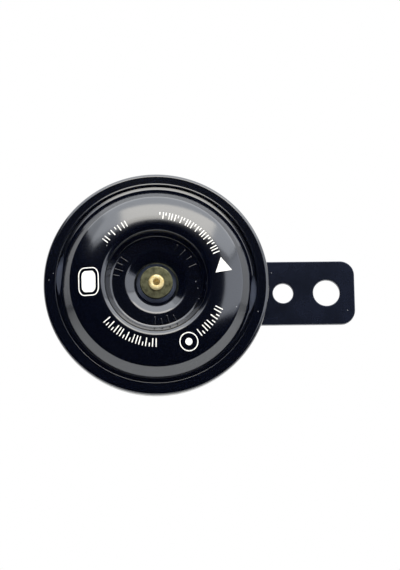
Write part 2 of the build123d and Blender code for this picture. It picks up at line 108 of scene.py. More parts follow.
class HornCoverSizes(bpy.types.PropertyGroup):
    """Bends of the pressed front cover, from the hub outwards."""

    __annotations__ = lengths(
        sheet=(0.8, "Thickness of the pressed cover"),
        hub_hole_radius=(6.2, "Hole round the moving centre"),
        hub_hole_height=(1.9, "The hub's inner edge"),
        hub_radius=(9.6, "Where the sunk hub meets the valley"),
        hub_height=(3.9, "Where the sunk hub meets the valley"),
        hub_bend=(2.2, "Between the hub and the valley"),
        valley_radius=(14.3, "Where the valley meets the step"),
        valley_height=(3.85, "The valley's outer edge"),
        valley_bend=(1.2, "At the foot of the step"),
        crest_radius=(16.2, "The step's crest"),
        crest_height=(8.0, "The step's crest"),
        crest_bend=(2.2, "At the top of the step"),
        crown_radius=(21.7, "Middle of the crown"),
        crown_height=(7.75, "Middle of the crown"),
        crown_bend=(20.0, "Doming of the crown"),
        shoulder_radius=(26.6, "Shoulder above the outer wall"),
        shoulder_height=(5.75, "Shoulder above the outer wall"),
        shoulder_bend=(2.0, "Between the crown and the wall"),
        foot_radius=(29.9, "The outer wall's foot"),
        foot_bend=(0.5, "At the outer wall's foot"),
        groove_width=(1.35, "The wall's foot to the crimped lip"),
        groove_rise=(0.2, "How far the groove rises to the wall's foot"),
        flange_height=(1.65, "Flange that the rim clamps"),
    )


class HornPortSizes(bpy.types.PropertyGroup):
    """The two sound ports lanced along the foot of the cover's wall."""

    __annotations__ = lengths(
        inner_reach=(28.8, "Pressed-in wall to the horn's axis"),
        outer_reach=(31.1, "Slit's outer edge to the horn's axis"),
        span=(14.6, "Length of each port"),
        tool_radius=(57.0, "Tool that presses the wall in"),
    ) | angles(
        turn=(-6.4, "Line through both ports, from +X towards +Z"),
        lean=(16.0, "Lean of the pressed-in wall"),
    )


class HornHousingSizes(bpy.types.PropertyGroup):
    """The pressed rear housing, from its crimped lip back to its floor."""

    __annotations__ = lengths(
        sheet=(1.0, "Thickness of the pressed housing"),
        lip_radius=(31.25, "Inner edge of the crimped lip"),
        lip_height=(2.65, "Inner edge of the crimped lip"),
        lip_edge_break=(0.2, "Broken edge round the inside of the lip"),
        bead_width=(0.6, "Low bead along the lip's inner edge"),
        bead_rise=(0.11, "How far the bead stands above the lip"),
        bead_bend=(0.4, "Between the bead and the lip"),
        rim_corner=(1.1, "Outer corners of the crimped rim"),
        seat_depth=(1.85, "Diaphragm back to the seat's rear face"),
        seat_radius=(30.35, "Where the seat bends into the cone"),
        cone_radius=(28.75, "Where the cone meets the cup"),
        cone_depth=(3.7, "Where the cone meets the cup"),
        cone_bend=(1.2, "At both ends of the cone"),
        cup_radius=(28.05, "The cup at its floor"),
        depth=(15.0, "Diaphragm back to the floor's rear face"),
        floor_bend=(3.0, "Round the floor"),
        stud_hole_radius=(3.2, "Hole for the stud"),
        drain_hole_radius=(1.5, "Drain hole in the floor"),
        drain_hole_reach=(19.0, "Drain hole to the horn's axis"),
        terminal_hole_radius=(2.5, "Holes for the terminals' rivets"),
        terminal_reach=(18.0, "Terminals to the level of the horn's axis"),
        terminal_spacing=(11.6, "Distance between the terminals' holes"),
    ) | angles(drain_hole_turn=(215.0, "Drain hole, from +X towards +Z"))


class HornStrapSizes(bpy.types.PropertyGroup):
    """The strap's corners and holes. Its length, width and thickness are those of its CAD node."""

    __annotations__ = lengths(
        corner=(4.5, "Corner radius at the free end"),
        edge_break=(0.3, "Broken edges all round"),
        stud_hole_radius=(3.2, "Hole for the stud"),
        small_hole_radius=(3.25, "Smaller round hole"),
        small_hole_reach=(13.85, "Smaller hole to the larger one"),
        large_hole_radius=(4.25, "Larger round hole"),
    )


class HornCentreSizes(bpy.types.PropertyGroup):
    """The washer and the rolled rivet at the moving centre."""

    __annotations__ = lengths(
        washer_bore=(1.65, "Radius of the washer's bore"),
        washer_radius=(5.1, "Outer radius of the washer"),
        washer_top=(3.5, "Height of the washer's front"),
        washer_sheet=(1.0, "Thickness of the washer"),
        shank_radius=(1.6, "The rivet's shank"),
        foot_radius=(2.5, "The rivet's flat foot"),
        foot_depth=(4.25, "Diaphragm back to the foot's rear face"),
        head_radius=(2.5, "Outside of the rolled head"),
        head_top=(4.45, "Height of the rolled head"),
        head_roll=(0.7, "Roll of the head's outer edge"),
        mouth_radius=(1.05, "The head's hole"),
        mouth_roll=(0.3, "Roll of the hole's edge"),
        bore_end=(2.15, "Height where the rivet's bore ends"),
    )


class HornMarkSizes(bpy.types.PropertyGroup):
    """Plain marks printed on the crown and stamped in the valley, and specks on the enamel."""

    __annotations__ = lengths(
        stroke=(0.3, "Width of a printed stroke"),
        stroke_gap=(0.5, "Half the distance between paired strokes"),
        ink=(0.03, "Thickness of the printed ink"),
        middle_reach=(20.9, "Rounded frame and triangle to the horn's axis"),
        ring_reach=(21.7, "Printed ring to the horn's axis"),
        ring_radius=(2.9, "Printed ring"),
        dot_radius=(1.1, "Dot in the ring"),
        frame_radius=(6.3, "Frame's middle to its unrounded corners"),
        frame_corner=(2.6, "Rounding of the frame's corners"),
        patch_radius=(4.7, "Patch's middle to its unrounded corners"),
        patch_corner=(1.9, "Rounding of the patch's corners"),
        triangle_radius=(3.0, "Triangle's middle to its corners"),
        stamp_stroke=(0.4, "Width of a stamped stroke"),
        stamp_height=(0.12, "Height of the stamped marks"),
        stamp_edge=(0.1, "Broken edges of the stamped marks"),
        stamp_outer=(13.6, "Outer ends of the stamped strokes"),
        stamp_short=(11.6, "Inner ends of the short strokes"),
        stamp_long=(10.9, "Inner ends of the long strokes"),
        grit=(0.05, "Thickness of the specks"),
    )


class HornColours(bpy.types.PropertyGroup):
    """Colours of the horn's visible finishes, as sRGB hex values."""

    enamel: shade("Enamel", "#03050F", "Stoved gloss enamel on the cover and rim")
    strap: shade("Strap enamel", "#060914", "Thinner enamel on the strap")
    ink: shade("Ink", "#F2F1EC", "Pad-printing ink on the crown")
    washer: shade("Washer", "#7C7D64", "Yellow-passivated zinc on the centre washer")
    brass: shade("Brass", "#EADBAA", "Brass of the centre rivet")
    base: shade("Terminal base", "#2A1C14", "Moulded phenolic of the terminal base")


class HornStageSizes(bpy.types.PropertyGroup):
    """Camera and lamps."""

    lens: bpy.props.FloatProperty(
        name="Lens", default=136.5, description="Focal length in millimetres", min=1.0
    )
    camera_place: bpy.props.FloatVectorProperty(
        name="Camera place",
        default=(-0.0591, -0.6757, -0.1373),
        description="Where the camera stands",
        subtype="TRANSLATION",
        unit="LENGTH",
    )
    camera_turn: bpy.props.FloatVectorProperty(
        name="Camera turn",
        default=(math.radians(11.75), math.radians(-0.91), math.radians(-1.60)),
        description="How far the camera looks up, rolls and looks aside",
        subtype="EULER",
    )
    __annotations__ |= powers(
        overhead_power=(11.5, "Wide overhead lamp, in watts"),
        core_power=(4.2, "That lamp's brighter middle, in watts"),
        right_power=(6.6, "Dim wall to the right, in watts"),
        light_level=(0.75, "Strength of the even light all round"),
    )


groups = {
    "horn_cover": HornCoverSizes,
    "horn_ports": HornPortSizes,
    "horn_housing": HornHousingSizes,
    "horn_strap": HornStrapSizes,
    "horn_centre": HornCentreSizes,
    "horn_marks": HornMarkSizes,
    "horn_colours": HornColours,
    "horn_stage": HornStageSizes,
}


# -------- modelling by hand, in code


def place(radius, height, turn=0.0):
    """Point at a radius and a turn about the horn's axis, at a height in front of the diaphragm."""
    return Vector(
        (axis_x + radius * math.cos(turn), diaphragm_y - height, radius * math.sin(turn))
    )


def radius_of(point):
    return math.hypot(point.x - axis_x, point.z)


def height_of(point):
    return diaphragm_y - point.y


def deselect():
    if bpy.context.object is not None and bpy.context.object.mode == "EDIT":
        bpy.ops.object.mode_set(mode="OBJECT")
    bpy.ops.object.select_all(action="DESELECT")


def only(piece):
    """Select one piece and make it the active one."""
    deselect()
    piece.select_set(True)
    bpy.context.view_layer.objects.active = piece
    return piece


def edit(piece):
    """Enter edit mode with all of a piece selected."""
    only(piece)
    bpy.ops.object.mode_set(mode="EDIT")
    bpy.ops.mesh.select_all(action="SELECT")


def leave_edit():
    bpy.ops.object.mode_set(mode="OBJECT")


def settle(name):
    """Name the new primitive and put its place into its mesh."""
    piece = bpy.context.object
    piece.name = piece.data.name = name
    only(piece)
    bpy.ops.object.transform_apply(location=True, rotation=True, scale=True)
    return piece


def choose(test, kind="VERT"):
    """In edit mode, select just the vertices, edges or faces whose middle passes a test."""
    bpy.ops.mesh.select_mode(type=kind)
    bpy.ops.mesh.select_all(action="DESELECT")
    mesh = bpy.context.object.data
    edit = bmesh.from_edit_mesh(mesh)
    for element in {"VERT": edit.verts, "EDGE": edit.edges, "FACE": edit.faces}[kind]:
        points = [element.co] if kind == "VERT" else [v.co for v in element.verts]
        if test(sum(points, Vector()) / len(points)):
            element.select_set(True)
    edit.select_flush_mode()
    bmesh.update_edit_mesh(mesh)


def outline(name, corners, closed=True):
    """Draw a wire in the horn's half section. Corners are (radius, height, bend radius)."""
    deselect()
    points = [place(r, h) for r, h, _ in corners]
    bpy.ops.mesh.primitive_plane_add(size=mm, location=points[0])
    piece = settle(name)
    edit(piece)
    bpy.ops.mesh.select_mode(type="VERT")
    bpy.ops.mesh.merge(type="CENTER")
    for here, there in zip(points, points[1:]):
        bpy.ops.mesh.extrude_region_move(TRANSFORM_OT_translate={"value": there - here})
    if closed:
        ends = (points[0], points[-1])
        choose(lambda p: min((p - end).length for end in ends) < same_point)
        bpy.ops.mesh.edge_face_add()
    for index, (_, _, bend) in enumerate(corners):
        if bend:
            before, here, after = (points[(index + k) % len(points)] for k in (-1, 0, 1))
            turn = (here - before).angle(after - here)
            choose(lambda p: (p - here).length < same_point)
            bpy.ops.mesh.bevel(
                affect="VERTICES",
                offset_type="OFFSET",
                offset=bend * math.tan(turn / 2),
                segments=max(3, round(math.degrees(turn) / 6)),
                clamp_overlap=False,
            )
    return piece


def spun(piece, steps=round_steps):
    """Spin an outline about the horn's axis, and close its seam and poles."""
    bpy.ops.mesh.select_all(action="SELECT")
    bpy.ops.mesh.spin(steps=steps, angle=math.tau, center=place(0, 0), axis=(0, -1, 0))
    bpy.ops.mesh.select_all(action="SELECT")
    bpy.ops.mesh.remove_doubles(threshold=same_point)
    bpy.ops.mesh.normals_make_consistent(inside=False)
    leave_edit()
    return piece


def modify(piece, kind, **settings):
    """Add a modifier with its settings and apply it."""
    only(piece)
    modifier = piece.modifiers.new(kind.title(), kind)
    for key, value in settings.items():
        setattr(modifier, key, value)
    bpy.ops.object.modifier_apply(modifier=modifier.name)
    return piece


def cut(piece, tool, operation="DIFFERENCE"):
    """Cut, join or intersect a piece with a tool, and remove the tool."""
    modify(piece, "BOOLEAN", object=tool, operation=operation, solver="EXACT")
    bpy.data.objects.remove(tool)
    return piece


def sheet_metal(name, corners, thickness, front):
    """Pressed sheet spun from its front surface's bends, with its thickness behind that surface."""
    piece = spun(outline(name, corners, closed=False))
    face = min(piece.data.polygons, key=lambda f: (f.center - front).length)
    well_inside = place(0, height_of(front) - 30 * mm)
    if face.normal.dot(front - well_inside) < 0:
        edit(piece)
        bpy.ops.mesh.flip_normals()
        leave_edit()
    return modify(
        piece, "SOLIDIFY", thickness=thickness, offset=-1, use_even_offset=True, use_rim=True
    )


def smooth(piece, degrees=30, flats=False):
    """Smooth shading that leaves real edges sharp, and flat faces flat where there are any."""
    only(piece)
    bpy.ops.object.shade_smooth_by_angle(angle=math.radians(degrees))
    return modify(piece, "WEIGHTED_NORMAL", keep_sharp=True, weight=100) if flats else piece


def drum(name, radius, depth, centre, vertices=96, top=None):
    """Round bar along the horn's axis, from a height forwards, tapered if it has a top radius."""
    deselect()
    bpy.ops.mesh.primitive_cone_add(
        vertices=vertices,
        radius1=radius,
        radius2=radius if top is None else top,
        depth=depth,
        location=centre + Vector((0, -depth / 2, 0)),
        rotation=(math.radians(90), 0, 0),
    )
    return settle(name)


def dressed(node, name, edge, degrees=30):
    """Smooth copy of a CAD node, with its facets merged and its edges broken."""
    only(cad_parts[node])
    bpy.ops.object.duplicate()
    piece = bpy.context.object
    for key in list(piece.keys()):
        del piece[key]
    piece.parent = None
    piece.name = piece.data.name = name
    edit(piece)
    bpy.ops.mesh.remove_doubles(threshold=2 * same_point)
    bpy.ops.mesh.dissolve_limited(angle_limit=math.radians(1))
    leave_edit()
    if edge:
        modify(
            piece,
            "BEVEL",
            width=edge,
            segments=2,
            limit_method="ANGLE",
            angle_limit=math.radians(degrees),
            use_clamp_overlap=True,
        )
    return smooth(piece, degrees, flats=True)


def coat(piece, finish):
    piece.data.materials.clear()
    piece.data.materials.append(finish_named(finish))


def finish_piece(piece, body, slot, finish, *nodes):
    """Give a piece its material, hang it on its body's empty, and hide the CAD nodes that it stands
    for.
    """
    coat(piece, finish)
    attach(piece, body)
    if nodes:
        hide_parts(*nodes)
    deselect()
    return piece


# -------- materials


def linear(hex_colour):
    """Linear colour of an sRGB hex value."""
    values = [int(hex_colour.lstrip("#")[k : k + 2], 16) / 255 for k in (0, 2, 4)]
    return tuple(v / 12.92 if v <= 0.04045 else ((v + 0.055) / 1.055) ** 2.4 for v in values) + (1.0,)


def per_mm(size):
    """Texture scale at which one feature measures a size in millimetres."""
    return 1000 / size


noise = "ShaderNodeTexNoise"
span = "ShaderNodeMapRange"
blend = "ShaderNodeMix"


def node(tree, kind, values=None, links=None, **settings):
    """Add a node with its settings, its sockets' values and its links from sockets or nodes."""
    made = tree.nodes.new(kind)
    for key, value in settings.items():
        setattr(made, key, value)
    for key, value in (values or {}).items():
        made.inputs[key].default_value = value
    for key, source in (links or {}).items():
        first = isinstance(source, bpy.types.Node)
        tree.links.new(source.outputs[0] if first else source, made.inputs[key])
    return made


def empty_material(name):
    """New material with its node tree cleared, and a link to its Object coordinates."""
    material = bpy.data.materials.new(name)
    material.use_nodes = True
    tree = material.node_tree
    tree.nodes.clear()
    return material, tree, {"Vector": node(tree, "ShaderNodeTexCoord").outputs["Object"]}


def gloss_enamel(colours):
    # Stoved alkyd enamel, dipped and baked: a deep blue-black that mirrors the studio sharply, with a
    # faint flow texture about 3 mm across and fine dust that greys it in places.
    material, tree, coords = empty_material("stoved gloss enamel")
    cloud = node(tree, noise, values={"Scale": per_mm(14), "Detail": 3}, links=coords)
    dust = node(tree, noise, values={"Scale": per_mm(0.35), "Detail": 2}, links=coords)
    flow = node(tree, noise, values={"Scale": per_mm(3), "Detail": 1}, links=coords)
    some = {"From Min": 0.7, "From Max": 0.78, "To Max": 0.06}
    grains = node(tree, span, values=some, links={"Value": dust})
    tones = {6: linear(colours.enamel), 7: linear("#34383F")}
    base = node(tree, blend, data_type="RGBA", values=tones, links={0: grains})
    worn = node(tree, span, values={"To Min": 0.09, "To Max": 0.2}, links={"Value": cloud})
    low_relief = {"Strength": 0.04, "Distance": 0.1 * mm}
    bump = node(tree, "ShaderNodeBump", values=low_relief, links={"Height": flow})
    shader = node(
        tree,
        "ShaderNodeBsdfPrincipled",
        values={
            "IOR": 1.5,
            "Specular Tint": linear("#E4EEFF"),
            "Coat Weight": 1.0,
            "Coat Roughness": 0.12,
            "Coat IOR": 1.6,
        },
        links={"Base Color": base.outputs[2], "Roughness": worn, "Normal": bump, "Coat Normal": bump},
    )
    node(tree, "ShaderNodeOutputMaterial", links={"Surface": shader})
    return material


def mottled(name, tones, ends, gloss, blotch, grain, relief, along=1, gloss_by_grain=False, **values):
    """Blotches between a dark and a light tone, which also carry the gloss, over a fine grain.

    ends is where in the pattern the dark tone ends and the light one starts, and gloss the roughness
    at the pattern's ends. Blotch and grain are a size in mm and a detail, and relief is a strength and
    a depth in mm. The grain can be drawn out along X, and can carry the gloss instead.
    """
    material, tree, coords = empty_material(name)
    cloud = node(tree, noise, values={"Scale": per_mm(blotch[0]), "Detail": blotch[1]}, links=coords)
    drawn = node(tree, "ShaderNodeMapping", values={"Scale": (along, 1, 1)}, links=coords)
    fine_sizes = {"Scale": per_mm(grain[0]), "Detail": grain[1]}
    fine = node(tree, noise, values=fine_sizes, links={"Vector": drawn})
    share = node(tree, span, values={"From Min": ends[0], "From Max": ends[1]}, links={"Value": cloud})
    dark_light = {6: linear(tones[0]), 7: linear(tones[1])}
    base = node(tree, blend, data_type="RGBA", values=dark_light, links={0: share})
    carrier = fine if gloss_by_grain else cloud
    worn = node(tree, span, values={"To Min": gloss[0], "To Max": gloss[1]}, links={"Value": carrier})
    depth = {"Strength": relief[0], "Distance": relief[1] * mm}
    bump = node(tree, "ShaderNodeBump", values=depth, links={"Height": fine})
    shader = node(
        tree,
        "ShaderNodeBsdfPrincipled",
        values=values,
        links={"Base Color": base.outputs[2], "Roughness": worn, "Normal": bump},
    )
    node(tree, "ShaderNodeOutputMaterial", links={"Surface": shader})
    return material


def strap_enamel(colours):
    # Thin electrophoretic enamel over rolled strip: satin and bluer than the disc, with the strip's
    # rolling grain along the strap just showing through.
    return mottled(
        "satin strap enamel",
        (colours.strap, "#0A0F1F"),
        ends=(0.35, 0.75),
        gloss=(0.22, 0.32),
        blotch=(9, 3),
        grain=(0.5, 3),
        relief=(0.1, 0.05),
        along=0.12,
        **{"IOR": 1.5, "Specular Tint": linear("#C9D8FF")},
    )


def printing_ink(colours):
    # Two-part pad-printing ink: flat white, a touch thin and grey where the pad lifted.
    return mottled(
        "white pad-printing ink",
        ("#C9C9C6", colours.ink),
        ends=(0.3, 0.55),
        gloss=(0.45, 0.6),
        blotch=(0.6, 3),
        grain=(0.6, 3),
        relief=(0, 0),
        IOR=1.48,
    )


def plated(name, light, dark, roughness, blotch, scratch, metallic=1.0):
    """Plated or bare metal, blotched in colour and finely scratched."""
    gloss = (roughness + 0.12, roughness - 0.06)
    sizes = ((blotch, 4), (scratch, 2))
    return mottled(name, (dark, light), (0.35, 0.62), gloss, *sizes, (0.25, 0.02), Metallic=metallic)


def moulded(name, light, dark, roughness, grain, ior=1.5):
    """Moulded, pressed or fired non-metal with a fine grain and a slight cloudiness."""
    gloss = (roughness - 0.08, roughness + 0.08)
    sizes = ((5, 3), (grain, 3), (0.3, 0.04))
    return mottled(name, (dark, light), (0.3, 0.7), gloss, *sizes, gloss_by_grain=True, IOR=ior)


materials = {}


def finish_named(name):
    """Material of a name, made the first time it is asked for."""
    colours = bpy.context.scene.horn_colours
    paints = {"gloss enamel": gloss_enamel, "strap enamel": strap_enamel, "printing ink": printing_ink}
    # full name, light and dark tone, roughness, sizes of blotches and scratches in mm
    metals = {
        # olive and cloudy, rubbed brighter in places
        "yellow zinc": ("yellow-passivated zinc", colours.washer, "#4C4D3E", 0.38, 1.6, 0.25),
        # machined, with a warm cream reflection
        "brass": ("turned brass", colours.brass, "#C4AC70", 0.42, 1.2, 0.2, 0.55),
        # cool grey and slightly hazy, on hardware
        "clear zinc": ("clear-passivated zinc", "#B9BDC2", "#8C9094", 0.36, 2.5, 0.25),
        # pale silver with a faint warm cast
        "tinned brass": ("tinned brass", "#CFCBC0", "#A9A498", 0.3, 3.0, 0.3),
        # dull dark grey, left bare inside
        "soft iron": ("bare soft iron", "#7A7B7C", "#4E4C4A", 0.5, 3.0, 0.4),
        # pinkish brown strip
        "spring bronze": ("phosphor bronze", "#B87C52", "#8E5C3A", 0.32, 3.0, 0.3),
        # mid grey and matt
        "tungsten": ("sintered tungsten", "#6D6F73", "#505257", 0.45, 1.0, 0.2),
        # orange-brown wire under varnish
        "copper winding": ("enamelled copper wire", "#A9552B", "#7A3818", 0.34, 2.0, 0.5, 0.7),
    }
    # full name, light and dark tone, roughness, size of the grain in mm
    others = {
        # matt navy disc behind the ports, both tones set lighter than the disc looks, as painted light
        # that lifts the shade inside the ports
        "diaphragm steel": ("painted diaphragm steel", "#4A5570", "#3A4358", 0.5, 0.8),
        # dark brown, compression-moulded and faintly mottled
        "phenolic": ("moulded phenolic", "#3A271B", colours.base, 0.42, 0.4),
        # grey-brown fibres
        "gasket card": ("oiled gasket card", "#5C5142", "#433A2E", 0.8, 0.3),
        # off-white and waxy
        "nylon": ("natural nylon", "#D8D2BF", "#C7C0AA", 0.45, 0.8, 1.53),
        # glossy dark red, dabbed over the adjusting screw
        "lacquer": ("red sealing lacquer", "#7E1418", "#5C0C10", 0.2, 2.5),
        # chalky green
        "ceramic": ("glazed ceramic", "#7C8F77", "#64765F", 0.35, 1.0, 1.6),
        # grey lint and grit on the enamel
        "dust": ("dust", "#9EA0A4", "#7B7D82", 0.85, 0.2),
    }
    if name not in materials:
        if name in paints:
            materials[name] = paints[name](colours)
        else:
            materials[name] = plated(*metals[name]) if name in metals else moulded(*others[name])
    return materials[name]


# -------- front cover


def cover_corners(sizes):
    """Bends of the cover's front surface, from the hub hole to the clamped edge."""
    clamped_radius = rim_radius - bpy.context.scene.horn_housing.rim_corner
    return [
        (sizes.hub_hole_radius, sizes.hub_hole_height, 0),
        (sizes.hub_radius, sizes.hub_height, sizes.hub_bend),
        (sizes.valley_radius, sizes.valley_height, sizes.valley_bend),
        (sizes.crest_radius, sizes.crest_height, sizes.crest_bend),
        (sizes.crown_radius, sizes.crown_height, sizes.crown_bend),
        (sizes.shoulder_radius, sizes.shoulder_height, sizes.shoulder_bend),
        (sizes.foot_radius, sizes.flange_height + sizes.groove_rise, sizes.foot_bend),
        (sizes.foot_radius + sizes.groove_width, sizes.flange_height, 0),
        (clamped_radius, sizes.flange_height, 0),
    ]


def pressing_tool(name, ports, turn, low, high, grown=0.0):
    """Leaning round tool beside the horn that presses a port's wall in."""
    reach = ports.inner_reach + ports.tool_radius
    foot = ports.tool_radius + grown
    top = foot - (high - low) * math.tan(ports.lean)
    return drum(name, foot, high - low, place(reach, low, turn), vertices=720, top=top)


class HORN_OT_front_cover(bpy.types.Operator):
    """Press the front cover: spin its bends, press its two ports in and slit them along the foot"""

    bl_idname = "horn.front_cover"
    bl_label = "Front cover"

    def execute(self, context):
        sizes, ports = context.scene.horn_cover, context.scene.horn_ports
        corners = cover_corners(sizes)
        crown = place(sizes.crown_radius, sizes.crown_height)
        cover = sheet_metal("cover_pressing", corners, sizes.sheet, crown)

        # solid up to the middle of the sheet, which trims the pressed-in walls
        drop = sizes.sheet / 2
        inset = 0.43 * mm  # a little over half the sheet, inwards
        core_bend = 1.5 * mm
        floor = sizes.flange_height - sizes.sheet + 0.02 * mm  # just inside the rear face
        foot = sizes.foot_radius - inset
        core = [
            (0, sizes.crown_height - drop, 0),
            (sizes.crown_radius, sizes.crown_height - drop, 0),
            (sizes.shoulder_radius - inset, sizes.shoulder_height - drop / 2, core_bend),
            (foot, sizes.flange_height, 0),
            (foot, floor, 0),
            (0, floor, 0),
        ]
        low = floor - 0.4 * mm  # the tools reach this far behind the flange
        slit_rise = sizes.crest_height - low
        half = ports.span / 2
        reach = ports.inner_reach + ports.tool_radius
        sagitta = ports.outer_reach - (reach - math.sqrt(ports.tool_radius**2 - half**2))
        slit_curve = (half**2 + sagitta**2) / (2 * sagitta)
        for side in (0, math.pi):
            turn = ports.turn + side
            wall = pressing_tool("port_wall", ports, turn, low, sizes.crest_height, sizes.sheet)
            cut(wall, spun(outline("cover_core", core)), "INTERSECT")
            cut(cover, wall, "UNION")
            centre = place(ports.outer_reach - slit_curve, low, turn)
            slit = drum("port_slit", slit_curve, slit_rise, centre, vertices=256)
            cut(slit, pressing_tool("port_tool", ports, turn, low, sizes.crest_height), "INTERSECT")
            cut(cover, slit)
        smooth(cover, 28)
        finish_piece(cover, "horn", "black_enamel", "gloss enamel", "front_cover")
        return {"FINISHED"}


# -------- rim and rear housing


class HORN_OT_rear_housing(bpy.types.Operator):
    """Press the rear housing: its edge is rolled over the cover's flange as the rim"""

    bl_idname = "horn.rear_housing"
    bl_label = "Rim and rear housing"

    def execute(self, context):
        sizes = context.scene.horn_housing
        lip_height = sizes.lip_height - sizes.bead_rise
        corners = [
            (sizes.lip_radius, sizes.lip_height, 0),
            (sizes.lip_radius + sizes.bead_width, lip_height, sizes.bead_bend),
            (rim_radius, lip_height, sizes.rim_corner),
            (rim_radius, -sizes.seat_depth, sizes.rim_corner),
            (sizes.seat_radius, -sizes.seat_depth, sizes.cone_bend),
            (sizes.cone_radius, -sizes.cone_depth, sizes.cone_bend),
            (sizes.cup_radius, -sizes.depth, sizes.floor_bend),
            (sizes.stud_hole_radius, -sizes.depth, 0),
        ]
        on_rim = place(rim_radius, (lip_height - sizes.seat_depth) / 2)
        housing = sheet_metal("housing_pressing", corners, sizes.sheet, on_rim)
        edit(housing)
        near = 0.02 * mm
        choose(
            lambda p: abs(radius_of(p) - sizes.lip_radius) < near
            and abs(height_of(p) - sizes.lip_height) < near,
            "EDGE",
        )
        bpy.ops.mesh.bevel(offset=sizes.lip_edge_break, segments=4, affect="EDGES")
        leave_edit()
        behind = -sizes.depth - sizes.sheet
        through = 3 * sizes.sheet
        drain = place(sizes.drain_hole_reach, behind, sizes.drain_hole_turn)
        cut(housing, drum("drain_hole", sizes.drain_hole_radius, through, drain, vertices=48))
        for side in (-1, 1):
            across = side * sizes.terminal_spacing / 2
            centre = place(0, behind) + Vector((across, 0, -sizes.terminal_reach))
            hole = drum("terminal_hole", sizes.terminal_hole_radius, through, centre, vertices=48)
            cut(housing, hole)
        smooth(housing, 28)
        finish_piece(housing, "horn", "black_enamel", "gloss enamel", "rear_housing")
        return {"FINISHED"}


# -------- strap bracket


class HORN_OT_strap(bpy.types.Operator):
    """Blank the strap: round its ends, punch its holes and break its front edge"""

    bl_idname = "horn.strap"
    bl_label = "Strap bracket"

    def execute(self, context):
        sizes = context.scene.horn_strap
        width = strap_high.z - strap_low.z
        thickness = strap_high.y - strap_low.y
        free_end = strap_high.x
        deselect()
        bpy.ops.mesh.primitive_cube_add(
            size=1,
            location=((axis_x + free_end) / 2, (strap_low.y + strap_high.y) / 2, 0),
            scale=(free_end - axis_x, thickness, width),
        )
        strap = settle("strap_blank")
        edit(strap)
        corner = Vector((free_end, 0, width / 2))
        choose(lambda p: (Vector((p.x, 0, abs(p.z))) - corner).length < same_point, "EDGE")
        bpy.ops.mesh.bevel(offset=sizes.corner, segments=16, affect="EDGES")
        leave_edit()
        boss = drum("strap_end", width / 2, thickness, Vector((axis_x, strap_high.y, 0)), 128)
        cut(strap, boss, "UNION")
        holes = (
            (axis_x, sizes.stud_hole_radius),
            (-sizes.small_hole_reach, sizes.small_hole_radius),
            (0, sizes.large_hole_radius),
        )
        for x, radius in holes:
            behind = Vector((x, strap_high.y + thickness, 0))
            cut(strap, drum("strap_punch", radius, 3 * thickness, behind))
        edit(strap)
        bpy.ops.mesh.remove_doubles(threshold=same_point)
        bpy.ops.mesh.dissolve_limited(angle_limit=math.radians(0.5))
        leave_edit()
        modify(
            strap,
            "BEVEL",
            width=sizes.edge_break,
            segments=3,
            limit_method="ANGLE",
            angle_limit=math.radians(40),
        )
        smooth(strap, 40, flats=True)
        finish_piece(strap, "horn", "black_strap_enamel", "strap enamel", "bracket")
        return {"FINISHED"}


# -------- moving centre


class HORN_OT_centre(bpy.types.Operator):
    """Turn the washer and the rolled-over brass rivet at the moving centre"""

    bl_idname = "horn.centre"
    bl_label = "Centre washer and rivet"

    def execute(self, context):
        sizes = context.scene.horn_centre
        washer_back = sizes.washer_top - sizes.washer_sheet
        front_roll, back_roll = 0.22 * mm, 0.12 * mm  # the washer's blanked edges
        washer_corners = [
            (sizes.washer_bore, washer_back, 0),
            (sizes.washer_radius, washer_back, back_roll),
            (sizes.washer_radius, sizes.washer_top, front_roll),
            (sizes.washer_bore, sizes.washer_top, 0),
        ]
        washer = smooth(spun(outline("centre_washer_turned", washer_corners)))
        finish_piece(washer, "moving_centre", "yellow_zinc", "yellow zinc", "centre_washer")

        foot_thickness, drill_point = 0.65 * mm, 0.65 * mm
        foot_front = foot_thickness - sizes.foot_depth
        tuck, seat = 0.05 * mm, 0.15 * mm  # the head narrows and bends a little on the washer
        rivet_corners = [
            (0, -sizes.foot_depth, 0),
            (sizes.foot_radius, -sizes.foot_depth, 0),
            (sizes.foot_radius, foot_front, 0),
            (sizes.shank_radius, foot_front, 0),
            (sizes.shank_radius, sizes.washer_top, 0),
            (sizes.head_radius - tuck, sizes.washer_top, seat),
            (sizes.head_radius, sizes.head_top, sizes.head_roll),
            (sizes.mouth_radius, sizes.head_top, sizes.mouth_roll),
            (sizes.mouth_radius, sizes.bore_end, 0),
            (0, sizes.bore_end - drill_point, 0),
        ]
        rivet = smooth(spun(outline("centre_rivet_rolled", rivet_corners)))
        finish_piece(rivet, "moving_centre", "brass", "brass", "centre_rivet")
        return {"FINISHED"}


# -------- marks


ahead = 12 * mm  # flat marks start at this height, in front of all that they are laid on


def bar(inner, outer, turn, width):
    """Flat bar ahead of the horn, from an inner to an outer radius."""
    deselect()
    bpy.ops.mesh.primitive_grid_add(
        x_subdivisions=7, y_subdivisions=2, size=1, rotation=(math.radians(90), 0, 0)
    )
    piece = settle("bar")
    edit(piece)
    bpy.ops.transform.resize(value=(outer - inner, 1, width), center_override=(0, 0, 0))
    leave_edit()
    centre = place((inner + outer) / 2, ahead, turn)
    piece.matrix_world = Matrix.Translation(centre) @ Matrix.Rotation(-turn, 4, "Y")
    return settle("bar")


